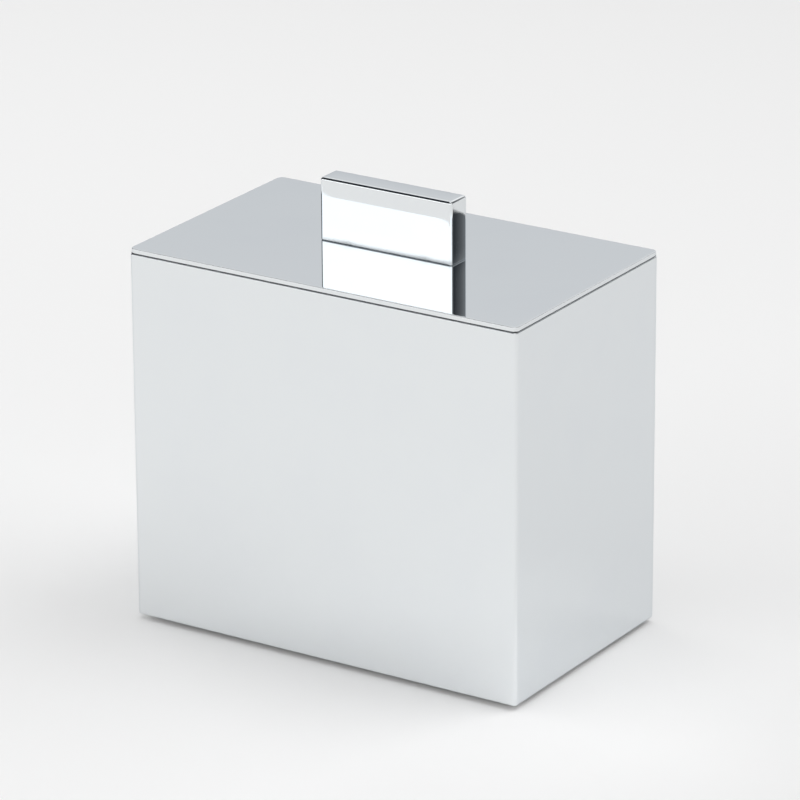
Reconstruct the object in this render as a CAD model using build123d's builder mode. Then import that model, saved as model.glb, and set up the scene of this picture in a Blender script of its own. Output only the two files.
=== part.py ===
from build123d import *
import math
import os

# A lidded box of chromed brass sheet on a recessed pad. Millimetres, +Z up,
# origin in the middle of the footprint, on the surface that the box stands on.

# Box: sizes over the outside
box_width = 140.0
box_depth = 84.0
body_height = 120.5
sheet = 1.5
corner_radius = 1.3
inner_corner_radius = 0.4
rim_radius = 0.4
rim_inner_radius = 0.3
foot_edge_radius = 0.7

# Pad under the floor, set in so that the box seems to float
pad_inset = 6.0
pad_thickness = 1.6
pad_corner_radius = 6.0

# Lid: plate, soft ring on the rim and the frame that centres it
lid_gap = 0.3
lid_corner_radius = 2.0
lid_top_radius = 0.35
lid_lower_radius = 0.2
frame_clearance = 0.5
frame_strip = 1.0
frame_height = 7.0
frame_corner_radius = 2.5
frame_lead_in = 0.5

# Handle: a solid bar held by two screws from below
handle_length = 48.0
handle_thickness = 9.0
handle_height = 20.5
handle_edge_radius = 1.0
handle_foot_radius = 0.35
screw_spacing = 28.0
thread_radius = 2.0
thread_play = 0.03
tapped_depth = 10.5
drill_point_angle = 118.0
screw_hole_radius = 2.25

# Pan head screw and plain washer
screw_length = 10.0
tip_chamfer = 0.4
head_radius = 4.0
head_height = 3.1
head_rim_height = 1.7
recess_span = 4.4
recess_width = 1.0
recess_depth = 2.0
recess_taper = 12.0
washer_radius = 4.5
washer_bore_radius = 2.15
washer_thickness = 0.8

# Levels and inside sizes worked out from the dimensions above
rim_level = pad_thickness + body_height
lid_level = rim_level + lid_gap
lid_top_level = lid_level + sheet
inside_width = box_width - 2 * sheet
inside_depth = box_depth - 2 * sheet
frame_width = inside_width - 2 * frame_clearance
frame_depth = inside_depth - 2 * frame_clearance
washer_level = lid_level - washer_thickness
screw_places = GridLocations(screw_spacing, 1, 2, 1).locations

os.makedirs("parts", exist_ok=True)


def save(piece, name):
    """Label a finished piece and write its file."""
    piece.part.label = name
    export_step(piece.part, f"parts/{name}.step")
    size = piece.part.bounding_box().size
    print(f"{name}: {size.X:.2f} x {size.Y:.2f} x {size.Z:.2f} mm, {len(piece.solids())} solid(s)")


# Pad: die-cut from rubber sheet, glued under the floor
with BuildPart() as base_pad:
    with BuildSketch(Plane.XY):
        RectangleRounded(box_width - 2 * pad_inset, box_depth - 2 * pad_inset, pad_corner_radius)
    extrude(amount=pad_thickness)
save(base_pad, "base_pad")


# Walls: one strip of sheet folded at four corners and brazed shut, then every
# outer edge ground round: the corners first, the foot and the rim after them
with BuildPart() as body_walls:
    with BuildSketch(Plane.XY.offset(pad_thickness)):
        Rectangle(box_width, box_depth)
        Rectangle(inside_width, inside_depth, mode=Mode.SUBTRACT)
    extrude(amount=body_height)
    upright_edges = body_walls.edges().filter_by(Axis.Z)
    inner_corners, outer_corners = upright_edges.group_by(lambda edge: abs(edge.center().X))
    fillet(outer_corners, corner_radius)
    fillet(inner_corners, inner_corner_radius)
    foot_face = body_walls.faces().sort_by(Axis.Z)[0]
    fillet(foot_face.outer_wire().edges(), foot_edge_radius)
    rim_face = body_walls.faces().sort_by(Axis.Z)[-1]
    fillet(rim_face.outer_wire().edges(), rim_radius)
    rim_face = body_walls.faces().sort_by(Axis.Z)[-1]
    fillet(rim_face.inner_wires()[0].edges(), rim_inner_radius)
save(body_walls, "body_walls")


# Floor: let in between the walls, flush with their lower edges
with BuildPart() as floor_plate:
    with BuildSketch(Plane.XY.offset(pad_thickness)):
        RectangleRounded(inside_width, inside_depth, inner_corner_radius)
    extrude(amount=sheet)
save(floor_plate, "floor_plate")


# Lid: flat plate with the outline of the box and clearance holes for the screws
with BuildPart() as lid_plate:
    with BuildSketch(Plane.XY.offset(lid_level)):
        RectangleRounded(box_width, box_depth, lid_corner_radius)
    extrude(amount=sheet)
    fillet(lid_plate.faces().sort_by(Axis.Z)[-1].edges(), lid_top_radius)
    fillet(lid_plate.faces().sort_by(Axis.Z)[0].edges(), lid_lower_radius)
    with Locations(Plane.XY.offset(lid_top_level)):
        with GridLocations(screw_spacing, 1, 2, 1):
            Hole(screw_hole_radius)
save(lid_plate, "lid_plate")


# Locating frame: thin strip bent into a ring, with a lead-in round its lower edge
with BuildPart() as locating_frame:
    with BuildSketch(Plane.XY.offset(lid_level - frame_height)):
        RectangleRounded(frame_width, frame_depth, frame_corner_radius)
        offset(amount=-frame_strip, mode=Mode.SUBTRACT)
    extrude(amount=frame_height)
    lower_face = locating_frame.faces().sort_by(Axis.Z)[0]
    chamfer(lower_face.outer_wire().edges(), frame_lead_in)
save(locating_frame, "locating_frame")


# Gasket: soft flat ring round the frame, as wide as the level part of the rim
with BuildPart() as lid_gasket:
    with BuildSketch(Plane.XY.offset(rim_level)):
        RectangleRounded(box_width - 2 * rim_radius, box_depth - 2 * rim_radius, rim_radius)
        RectangleRounded(frame_width, frame_depth, frame_corner_radius, mode=Mode.SUBTRACT)
    extrude(amount=lid_gap)
save(lid_gasket, "lid_gasket")


# Handle: bar with its edges rounded, tapped from below with drilled points
point_depth = thread_radius / math.tan(math.radians(drill_point_angle / 2))
with BuildPart() as handle_block:
    with BuildSketch(Plane.XY.offset(lid_top_level)):
        Rectangle(handle_length, handle_thickness)
    extrude(amount=handle_height)
    top_edges = handle_block.faces().sort_by(Axis.Z)[-1].edges()
    fillet(top_edges + handle_block.edges().filter_by(Axis.Z), handle_edge_radius)
    fillet(handle_block.faces().sort_by(Axis.Z)[0].edges(), handle_foot_radius)
    for place in screw_places:
        centre = place.position.X
        with BuildSketch(Plane.XZ):
            with BuildLine():
                Polyline(
                    (centre, lid_top_level),
                    (centre + thread_radius, lid_top_level),
                    (centre + thread_radius, lid_top_level + tapped_depth),
                    (centre, lid_top_level + tapped_depth + point_depth),
                    close=True,
                )
            make_face()
        revolve(axis=Axis((centre, 0, 0), (0, 0, 1)), mode=Mode.SUBTRACT)
save(handle_block, "handle_block")


# Washers: plain rings between the lid and the screw heads
with BuildPart() as screw_washers:
    with BuildSketch(Plane.XY.offset(washer_level)):
        with GridLocations(screw_spacing, 1, 2, 1):
            Circle(washer_radius)
            Circle(washer_bore_radius, mode=Mode.SUBTRACT)
    extrude(amount=washer_thickness)
save(screw_washers, "screw_washers")


# Screws: domed pan heads with a cross recess, shanks up through washer and lid
shank_radius = thread_radius - thread_play
head_level = washer_level - head_height
tip_level = washer_level + screw_length
with BuildPart() as handle_screws:
    for place in screw_places:
        centre = place.position.X
        with BuildSketch(Plane.XZ):
            with BuildLine():
                Polyline(
                    (centre, head_level),
                    (centre, tip_level),
                    (centre + shank_radius - tip_chamfer, tip_level),
                    (centre + shank_radius, tip_level - tip_chamfer),
                    (centre + shank_radius, washer_level),
                    (centre + head_radius, washer_level),
                    (centre + head_radius, washer_level - head_rim_height),
                )
                TangentArc(
                    (centre, head_level),
                    (centre + head_radius, washer_level - head_rim_height),
                    tangent=(1, 0),
                )
            make_face()
        revolve(axis=Axis((centre, 0, 0), (0, 0, 1)))
    with BuildSketch(Plane.XY.offset(head_level)):
        with GridLocations(screw_spacing, 1, 2, 1):
            Rectangle(recess_span, recess_width)
            Rectangle(recess_width, recess_span)
    extrude(amount=recess_depth, taper=recess_taper, mode=Mode.SUBTRACT)
save(handle_screws, "handle_screws")
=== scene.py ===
import math

import bpy
from mathutils import Matrix, Vector

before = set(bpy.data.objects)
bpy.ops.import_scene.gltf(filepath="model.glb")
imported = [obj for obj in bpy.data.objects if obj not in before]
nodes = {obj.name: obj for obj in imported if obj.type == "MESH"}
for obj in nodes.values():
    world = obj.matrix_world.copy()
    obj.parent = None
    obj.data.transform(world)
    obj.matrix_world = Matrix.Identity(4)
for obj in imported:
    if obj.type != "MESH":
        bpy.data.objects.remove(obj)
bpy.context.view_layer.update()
scene = bpy.context.scene
scene.view_settings.view_transform = "Standard"
print("frame loaded:", ", ".join(sorted(nodes)))


# helpers for node trees

def addNode(tree, kind, **settings):
    node = tree.nodes.new(kind)
    for name, value in settings.items():
        setattr(node, name, value)
    return node


def feed(tree, socket, source):
    if isinstance(source, bpy.types.NodeSocket):
        tree.links.new(source, socket)
    else:
        socket.default_value = source


def calc(tree, operation, *sources):
    node = addNode(tree, "ShaderNodeMath", operation=operation)
    for socket, source in zip(node.inputs, sources):
        feed(tree, socket, source)
    return node.outputs[0]


def vectorCalc(tree, operation, *sources):
    node = addNode(tree, "ShaderNodeVectorMath", operation=operation)
    for socket, source in zip(node.inputs, sources):
        feed(tree, socket, source)
    return node.outputs["Value" if operation in ("LENGTH", "DISTANCE") else "Vector"]


def remap(tree, value, low, high, newLow=0.0, newHigh=1.0):
    node = addNode(tree, "ShaderNodeMapRange", interpolation_type="SMOOTHSTEP")
    for name, source in (("Value", value), ("From Min", low), ("From Max", high),
                         ("To Min", newLow), ("To Max", newHigh)):
        feed(tree, node.inputs[name], source)
    return node.outputs["Result"]


def mixColors(tree, factor, first, second, blend="MIX"):
    node = addNode(tree, "ShaderNodeMix", data_type="RGBA", blend_type=blend)
    for index, source in ((0, factor), (6, first), (7, second)):
        feed(tree, node.inputs[index], source)
    return node.outputs[2]


def noise(tree, coords, scale, detail=2.0, roughness=0.5):
    node = addNode(tree, "ShaderNodeTexNoise")
    for name, source in (("Vector", coords), ("Scale", scale),
                         ("Detail", detail), ("Roughness", roughness)):
        feed(tree, node.inputs[name], source)
    return node.outputs["Fac"]


def stretched(tree, coords, factors):
    return vectorCalc(tree, "MULTIPLY", coords, factors)


def newGroup(name, inputs, outputs):
    tree = bpy.data.node_groups.new(name, "ShaderNodeTree")
    for label, kind, value in inputs:
        socket = tree.interface.new_socket(label, in_out="INPUT", socket_type="NodeSocket" + kind)
        socket.default_value = value
    for label, kind in outputs:
        tree.interface.new_socket(label, in_out="OUTPUT", socket_type="NodeSocket" + kind)
    return tree, tree.nodes.new("NodeGroupInput").outputs, tree.nodes.new("NodeGroupOutput").inputs


def useGroup(tree, group, values):
    node = addNode(tree, "ShaderNodeGroup", node_tree=group)
    for name, value in values.items():
        feed(tree, node.inputs[name], value)
    return node.outputs


# camera: where the photograph was taken from

cameraSet = {
    "lens": 240.69,                      # mm
    "sensor": 36.0,                      # mm
    "distance": 1.6654,                  # m, from the point looked at
    "azimuth": 32.64,                    # degrees, from the front round to the right
    "elevation": 20.444,
    "roll": -0.317,
    "lookAt": (0.00214, 0.0, 0.07462),
    "clip": (0.05, 60.0),                # m
}


def makeCamera(s):
    data = bpy.data.cameras.new("photoCamera")
    data.lens = s["lens"]
    data.sensor_width = s["sensor"]
    data.clip_start, data.clip_end = s["clip"]
    camera = bpy.data.objects.new("photoCamera", data)
    scene.collection.objects.link(camera)
    turn, rise, roll = (math.radians(s[key]) for key in ("azimuth", "elevation", "roll"))
    back = Vector((math.sin(turn) * math.cos(rise), -math.cos(turn) * math.cos(rise), math.sin(rise)))
    right = Vector((math.cos(turn), math.sin(turn), 0.0))
    up = back.cross(right)
    right, up = right * math.cos(roll) + up * math.sin(roll), up * math.cos(roll) - right * math.sin(roll)
    place = Matrix((right, up, back)).transposed().to_4x4()
    place.translation = Vector(s["lookAt"]) + back * s["distance"]
    camera.matrix_world = place
    scene.camera = camera


makeCamera(cameraSet)
print("camera set")


# studio: pale floor with painted light and shade in its colour, soft light from all round and the panels
# that the chrome mirrors

studioSet = {
    "background": (0.79, 0.79, 0.79),
    "floorHalf": 12.0,                      # m
    "floorRoughness": 0.9,
    "floorPaintedLight": (0.965, 0.965, 0.965),     # painted light: paler beside the box, to the front right
    "floorColor": (0.878, 0.878, 0.878),    # round the box
    "floorPaintedShade": (0.80, 0.80, 0.80),         # painted shade: darker a good way off, where the light falls off
    "paintedLightSpot": (0.098, -0.012, 0.0),
    "paintedLightReach": (0.0, 0.11),               # m from the spot: the painted light on the floor fades from here to here
    "paintedShadeSpot": (-0.25, -0.1, 0.0),
    "paintedShadeReach": (0.35, 1.0),                # m from the spot: the painted shade on the floor deepens from here to here
    # panels, all in degrees but the last: bearing from and to, elevation from and to, width of the
    # soft edge, strength. A bearing of 0 is the back, 90 the right and 180 the front.
    # The first set lights the floor and all that is dull, the second is what polished metal mirrors.
    "roomLight": (0.37, 0.37, 0.37),
    "lightPanels": {
        "above": (-200.0, 200.0, 70.0, 105.0, 10.0, 1.05),
        "backRight": (24.0, 87.0, 37.0, 106.0, 10.0, 1.52),
        "rightLow": (49.0, 163.0, -2.0, 14.0, 10.0, 0.96),
        "frontLow": (129.0, 299.0, -7.0, 14.0, 10.0, 0.71),
        "frontLeft": (195.0, 243.0, 1.0, 31.0, 10.0, 0.76),
        "leftLow": (194.0, 284.0, -6.0, 29.0, 10.0, 0.59),
        "left": (250.0, 305.0, -6.0, 38.0, 10.0, 0.9),
    },
    "roomShade": (0.03, 0.034, 0.04),
    "mirrorPanels": {
        "front": (102.0, 240.0, 13.0, 23.0, 2.0, 1.8),
        "frontLow": (102.0, 240.0, -30.0, 11.0, 2.0, 0.88),
        "backLeftLow": (294.0, 372.0, -30.0, 24.0, 8.0, 0.83),
        "backLeft": (300.0, 371.0, 32.0, 58.0, 8.0, 1.0),
        "backRight": (10.0, 22.0, 12.0, 22.0, 15.0, 0.35),
        "frontHigh": (62.0, 196.0, 34.0, 66.0, 8.0, 0.45),
        "backRightLow": (26.0, 60.0, -30.0, 9.0, 5.0, 0.75),
        "right": (62.0, 88.0, -30.0, 50.0, 12.0, 0.35),
        "above": (-200.0, 200.0, 76.0, 105.0, 10.0, 1.0),
    },
}

panelGroup, given, result = newGroup(
    "studio panel",
    [("Bearing", "Float", 0.0), ("Elevation", "Float", 0.0), ("Middle Bearing", "Float", 0.0),
     ("Middle Elevation", "Float", 0.0), ("Half Width", "Float", 20.0), ("Half Height", "Float", 20.0),
     ("Soft Edge", "Float", 5.0), ("Strength", "Float", 1.0)],
    [("Glow", "Float")])
turn = calc(panelGroup, "SUBTRACT", given["Bearing"], given["Middle Bearing"])
aside = calc(panelGroup, "ABSOLUTE", calc(panelGroup, "WRAP", turn, 180.0, -180.0))
rise = calc(panelGroup, "SUBTRACT", given["Elevation"], given["Middle Elevation"])
above = calc(panelGroup, "ABSOLUTE", rise)
pastSide = calc(panelGroup, "SUBTRACT", aside, given["Half Width"])
pastEnd = calc(panelGroup, "SUBTRACT", above, given["Half Height"])
sides = remap(panelGroup, pastSide, 0.0, given["Soft Edge"], 1.0, 0.0)
ends = remap(panelGroup, pastEnd, 0.0, given["Soft Edge"], 1.0, 0.0)
cover = calc(panelGroup, "MULTIPLY", sides, ends)
feed(panelGroup, result["Glow"], calc(panelGroup, "MULTIPLY", cover, given["Strength"]))


def addPanels(tree, bearing, elevation, panels, room):
    glow = 0.0
    for bearingFrom, bearingTo, lowEdge, highEdge, soft, strength in panels.values():
        panel = useGroup(tree, panelGroup, {
            "Bearing": bearing, "Elevation": elevation,
            "Middle Bearing": (bearingFrom + bearingTo) / 2, "Middle Elevation": (lowEdge + highEdge) / 2,
            "Half Width": (bearingTo - bearingFrom) / 2, "Half Height": (highEdge - lowEdge) / 2,
            "Soft Edge": soft, "Strength": strength})["Glow"]
        glow = calc(tree, "ADD", panel, glow)
    return mixColors(tree, 1.0, (*room, 1.0), glow, "ADD")


def makeWorld(s):
    world = bpy.data.worlds.new("studio")
    world.use_nodes = True
    scene.world = world
    tree = world.node_tree
    tree.nodes.clear()
    heading = addNode(tree, "ShaderNodeSeparateXYZ")
    feed(tree, heading.inputs[0], addNode(tree, "ShaderNodeTexCoord").outputs["Generated"])
    x, y, z = heading.outputs
    bearing = calc(tree, "DEGREES", calc(tree, "ARCTAN2", x, y))
    elevation = calc(tree, "DEGREES", calc(tree, "ARCSINE", z))
    light = addPanels(tree, bearing, elevation, s["lightPanels"], s["roomLight"])
    mirrored = addPanels(tree, bearing, elevation, s["mirrorPanels"], s["roomShade"])
    rays = addNode(tree, "ShaderNodeLightPath").outputs
    undiffused = calc(tree, "LESS_THAN", rays["Diffuse Depth"], 0.5)
    inMirror = calc(tree, "MULTIPLY", undiffused, rays["Is Glossy Ray"])
    color = mixColors(tree, inMirror, light, mirrored)
    color = mixColors(tree, rays["Is Camera Ray"], color, (*s["background"], 1.0))
    glowNode = addNode(tree, "ShaderNodeBackground")
    feed(tree, glowNode.inputs["Color"], color)
    feed(tree, addNode(tree, "ShaderNodeOutputWorld").inputs["Surface"], glowNode.outputs[0])


def makeFloor(s):
    half = s["floorHalf"]
    mesh = bpy.data.meshes.new("floor")
    corners = [(-half, -half, 0), (half, -half, 0), (half, half, 0), (-half, half, 0)]
    mesh.from_pydata(corners, [], [(0, 1, 2, 3)])
    floor = bpy.data.objects.new("floor", mesh)
    scene.collection.objects.link(floor)
    material = bpy.data.materials.new("studio floor, painted light and shade")
    material.use_nodes = True
    tree = material.node_tree
    shader = tree.nodes["Principled BSDF"]
    place = addNode(tree, "ShaderNodeTexCoord").outputs["Object"]
    # painted light: the floor colour is paler beside the box, to the front right
    aside = remap(tree, vectorCalc(tree, "DISTANCE", place, s["paintedLightSpot"]), *s["paintedLightReach"])
    # painted shade: the floor colour darkens far off, where the light falls off
    paintedShadeMask = remap(tree, vectorCalc(tree, "DISTANCE", place, s["paintedShadeSpot"]), *s["paintedShadeReach"])
    color = mixColors(tree, aside, (*s["floorPaintedLight"], 1.0), (*s["floorColor"], 1.0))
    feed(tree, shader.inputs["Base Color"], mixColors(tree, paintedShadeMask, color, (*s["floorPaintedShade"], 1.0)))
    shader.inputs["Roughness"].default_value = s["floorRoughness"]
    shader.inputs["Specular IOR Level"].default_value = 0.0
    mesh.materials.append(material)


makeWorld(studioSet)
makeFloor(studioSet)
print("studio built")


# effects that several finishes share

# polishing turns the faces a little towards each other near an edge (Reach in m, Amount), and
# lapping before it leaves the top edges crisper, so that they turn faster (Crispness over 1)
rollOff, given, result = newGroup(
    "polish roll-off",
    [("Reach", "Float", 0.004), ("Amount", "Float", 0.08), ("Crispness", "Float", 1.0)],
    [("Normal", "Vector")])
rounded = addNode(rollOff, "ShaderNodeBevel", samples=8)
feed(rollOff, rounded.inputs["Radius"], given["Reach"])
facing = addNode(rollOff, "ShaderNodeTexCoord").outputs["Normal"]
parts = addNode(rollOff, "ShaderNodeSeparateXYZ")
feed(rollOff, parts.inputs[0], facing)
x, y, z = parts.outputs
sideways = vectorCalc(rollOff, "LENGTH", stretched(rollOff, facing, (1.0, 1.0, 0.0)))
leastSideways = 0.02        # keeps the slope of a level face finite
sideways = calc(rollOff, "MAXIMUM", sideways, leastSideways)
slope = calc(rollOff, "DIVIDE", calc(rollOff, "ABSOLUTE", z), sideways)
facesUp = calc(rollOff, "GREATER_THAN", z, 0.0)
power = calc(rollOff, "MULTIPLY", calc(rollOff, "SUBTRACT", given["Crispness"], 1.0), facesUp)
steeper = calc(rollOff, "MULTIPLY", z, calc(rollOff, "POWER", slope, power))
turned = addNode(rollOff, "ShaderNodeCombineXYZ")
for socket, source in zip(turned.inputs, (x, y, steeper)):
    feed(rollOff, socket, source)
toWorld = addNode(
    rollOff, "ShaderNodeVectorTransform", vector_type="NORMAL", convert_from="OBJECT", convert_to="WORLD")
feed(rollOff, toWorld.inputs[0], vectorCalc(rollOff, "NORMALIZE", turned.outputs[0]))
blend = addNode(rollOff, "ShaderNodeMix", data_type="VECTOR")
for index, source in ((0, given["Amount"]), (4, toWorld.outputs[0]), (5, rounded.outputs["Normal"])):
    feed(rollOff, blend.inputs[index], source)
feed(rollOff, result["Normal"], vectorCalc(rollOff, "NORMALIZE", blend.outputs[1]))

marksSet = {
    "smudgeScale": 35.0,
    "smudges": (0.42, 0.72),              # where a smudge starts and is full
    "hairlines": (0.68, 0.76),            # the same for a hairline
    "hairlineRuns": ((0.09, 1.0, 0.35), (1.0, 0.35, 0.08)),
}

marks, given, result = newGroup(
    "polish marks", [("Waves per Metre", "Float", 60.0), ("Hairlines per Metre", "Float", 900.0)],
    [("Waviness", "Float"), ("Smudges", "Float"), ("Hairlines", "Float")])
place = addNode(marks, "ShaderNodeTexCoord").outputs["Object"]
feed(marks, result["Waviness"], noise(marks, place, given["Waves per Metre"], 1.0))
clouds = noise(marks, place, marksSet["smudgeScale"], 4.0, 0.6)
feed(marks, result["Smudges"], remap(marks, clouds, *marksSet["smudges"]))
hairlines = []
for run in marksSet["hairlineRuns"]:
    streaks = noise(marks, stretched(marks, place, run), given["Hairlines per Metre"], 1.0)
    hairlines.append(remap(marks, streaks, *marksSet["hairlines"]))
feed(marks, result["Hairlines"], calc(marks, "MAXIMUM", *hairlines))

grainSet = {
    "broadLines": 0.25,     # broad lines for each fine one
    "fineShare": 0.4,       # of the tone
}

grain, given, result = newGroup(
    "brushed grain", [("Lines per Metre", "Float", 3800.0), ("Stretch", "Vector", (0.012, 1.0, 1.0))],
    [("Height", "Float"), ("Tone", "Float")])
place = addNode(grain, "ShaderNodeTexCoord").outputs["Object"]
along = stretched(grain, place, given["Stretch"])
fine = noise(grain, along, given["Lines per Metre"], 2.0, 0.6)
broadScale = calc(grain, "MULTIPLY", given["Lines per Metre"], grainSet["broadLines"])
broadPart = calc(grain, "MULTIPLY", noise(grain, along, broadScale, 2.0, 0.5), 1.0 - grainSet["fineShare"])
feed(grain, result["Height"], fine)
feed(grain, result["Tone"], calc(grain, "MULTIPLY_ADD", fine, grainSet["fineShare"], broadPart))
print("shared effects built")


# finishes

def newMaterial(name, **values):
    material = bpy.data.materials.new(name)
    material.use_nodes = True
    tree = material.node_tree
    shader = tree.nodes["Principled BSDF"]
    for label, value in values.items():
        shader.inputs[label.replace("_", " ")].default_value = value
    return material, tree, shader


def addBump(tree, shader, height, distance, normal=None):
    bump = addNode(tree, "ShaderNodeBump")
    feed(tree, bump.inputs["Distance"], distance)
    feed(tree, bump.inputs["Height"], height)
    if normal is not None:
        feed(tree, bump.inputs["Normal"], normal)
    feed(tree, shader.inputs["Normal"], bump.outputs["Normal"])


chromeSet = {
    "color": (0.835, 0.86, 0.872, 1.0),
    "filmColor": (0.825, 0.85, 0.866, 1.0),   # where a wipe left a trace
    "edgeTint": (0.60, 0.625, 0.66, 1.0),     # chrome darkens a little at a low angle
    "roughness": (0.015, 0.04),               # clean, under smudges
    "hairlineRoughness": 0.012,               # on top of either
    "wavesPerMetre": 60.0,
    "waviness": 0.0000015,                    # m
    "wallEdges": {"Reach": 0.004, "Amount": 0.05},
    "lidEdges": {"Reach": 0.0014, "Amount": 0.07, "Crispness": 2.1},
    "handleEdges": {"Reach": 0.007, "Amount": 0.09},
}


def polishedChrome(name, s, edges):
    material, tree, shader = newMaterial(name, Metallic=1.0, Specular_Tint=s["edgeTint"])
    worn = useGroup(tree, marks, {"Waves per Metre": s["wavesPerMetre"]})
    feed(tree, shader.inputs["Base Color"], mixColors(tree, worn["Smudges"], s["color"], s["filmColor"]))
    haze = remap(tree, worn["Smudges"], 0.0, 1.0, *s["roughness"])
    roughness = calc(tree, "MULTIPLY_ADD", worn["Hairlines"], s["hairlineRoughness"], haze)
    feed(tree, shader.inputs["Roughness"], roughness)
    addBump(tree, shader, worn["Waviness"], s["waviness"], useGroup(tree, rollOff, s[edges])["Normal"])
    return material


satinSet = {
    "light": (0.71, 0.70, 0.68, 1.0),
    "dark": (0.50, 0.495, 0.485, 1.0),
    "tones": (0.35, 0.65),      # of the grain, for the darkest and the lightest
    "roughness": (0.24, 0.38),
    "grainDepth": 0.000002,     # m
}


def satinPlate(s):
    material, tree, shader = newMaterial("satin nickel plate", Metallic=1.0)
    brushed = useGroup(tree, grain, {})
    tone = remap(tree, brushed["Tone"], *s["tones"])
    feed(tree, shader.inputs["Base Color"], mixColors(tree, tone, s["dark"], s["light"]))
    feed(tree, shader.inputs["Roughness"], remap(tree, brushed["Tone"], *s["tones"], *s["roughness"]))
    addBump(tree, shader, brushed["Height"], s["grainDepth"])
    return material


zincSet = {
    "blue": (0.58, 0.62, 0.68, 1.0),
    "straw": (0.68, 0.65, 0.56, 1.0),
    "tintScale": 220.0,
    "tints": (0.35, 0.7),       # where straw starts and is full
    "roughness": (0.2, 0.38),
    "pitScale": 2600.0,
    "pitDepth": 0.00001,        # m
}


def zincPlate(s):
    material, tree, shader = newMaterial("bright zinc plate", Metallic=1.0)
    place = addNode(tree, "ShaderNodeTexCoord").outputs["Object"]
    tint = remap(tree, noise(tree, place, s["tintScale"], 2.0), *s["tints"])
    feed(tree, shader.inputs["Base Color"], mixColors(tree, tint, s["blue"], s["straw"]))
    pits = noise(tree, place, s["pitScale"], 3.0, 0.6)
    feed(tree, shader.inputs["Roughness"], remap(tree, pits, 0.3, 0.7, *s["roughness"]))
    addBump(tree, shader, pits, s["pitDepth"])
    return material


rubberSet = {
    "light": (0.045, 0.045, 0.047, 1.0),
    "dark": (0.018, 0.018, 0.019, 1.0),
    "bloomScale": 90.0,
    "roughness": (0.72, 0.9),
    "clothPrint": 900.0,        # waves to the metre, from the cloth that the sheet was cured on
    "printDepth": 0.00003,      # m
}


def sheetRubber(s):
    material, tree, shader = newMaterial("dark sheet rubber")
    place = addNode(tree, "ShaderNodeTexCoord").outputs["Object"]
    parts = addNode(tree, "ShaderNodeSeparateXYZ")
    feed(tree, parts.inputs[0], place)
    threads = []
    for axis in "XY":
        phase = calc(tree, "MULTIPLY", parts.outputs[axis], 2 * math.pi * s["clothPrint"])
        threads.append(calc(tree, "SINE", phase))
    weave = calc(tree, "MULTIPLY_ADD", calc(tree, "MULTIPLY", *threads), 0.5, 0.5)
    bloom = remap(tree, noise(tree, place, s["bloomScale"], 3.0), 0.3, 0.7)
    feed(tree, shader.inputs["Base Color"], mixColors(tree, bloom, s["dark"], s["light"]))
    feed(tree, shader.inputs["Roughness"], remap(tree, bloom, 0.0, 1.0, *s["roughness"]))
    addBump(tree, shader, weave, s["printDepth"])
    return material


siliconeSet = {
    "color": (0.022, 0.022, 0.024, 1.0),
    "dust": (0.07, 0.07, 0.07, 1.0),
    "dustScale": 5000.0,
    "specks": (0.64, 0.72),     # where a speck starts and is full
    "sheenScale": 300.0,
    "roughness": (0.38, 0.6),
    "grainScale": 1500.0,
    "grainDepth": 0.00001,      # m
}


def silicone(s):
    material, tree, shader = newMaterial("dark silicone")
    place = addNode(tree, "ShaderNodeTexCoord").outputs["Object"]
    specks = remap(tree, noise(tree, place, s["dustScale"], 2.0), *s["specks"])
    feed(tree, shader.inputs["Base Color"], mixColors(tree, specks, s["color"], s["dust"]))
    sheen = noise(tree, place, s["sheenScale"])
    feed(tree, shader.inputs["Roughness"], remap(tree, sheen, 0.3, 0.7, *s["roughness"]))
    addBump(tree, shader, noise(tree, place, s["grainScale"], 3.0), s["grainDepth"])
    return material


satin = satinPlate(satinSet)
zinc = zincPlate(zincSet)
finishes = {
    "body_walls": polishedChrome("polished chrome", chromeSet, "wallEdges"),
    "lid_plate": polishedChrome("polished chrome, lapped plate", chromeSet, "lidEdges"),
    "handle_block": polishedChrome("polished chrome, hand-finished bar", chromeSet, "handleEdges"),
    "floor_plate": satin,
    "locating_frame": satin,
    "handle_screws": zinc,
    "screw_washers": zinc,
    "base_pad": sheetRubber(rubberSet),
    "lid_gasket": silicone(siliconeSet),
}
for name, material in finishes.items():
    nodes[name].material_slots[0].material = material
print("finishes on", len(finishes), "pieces")
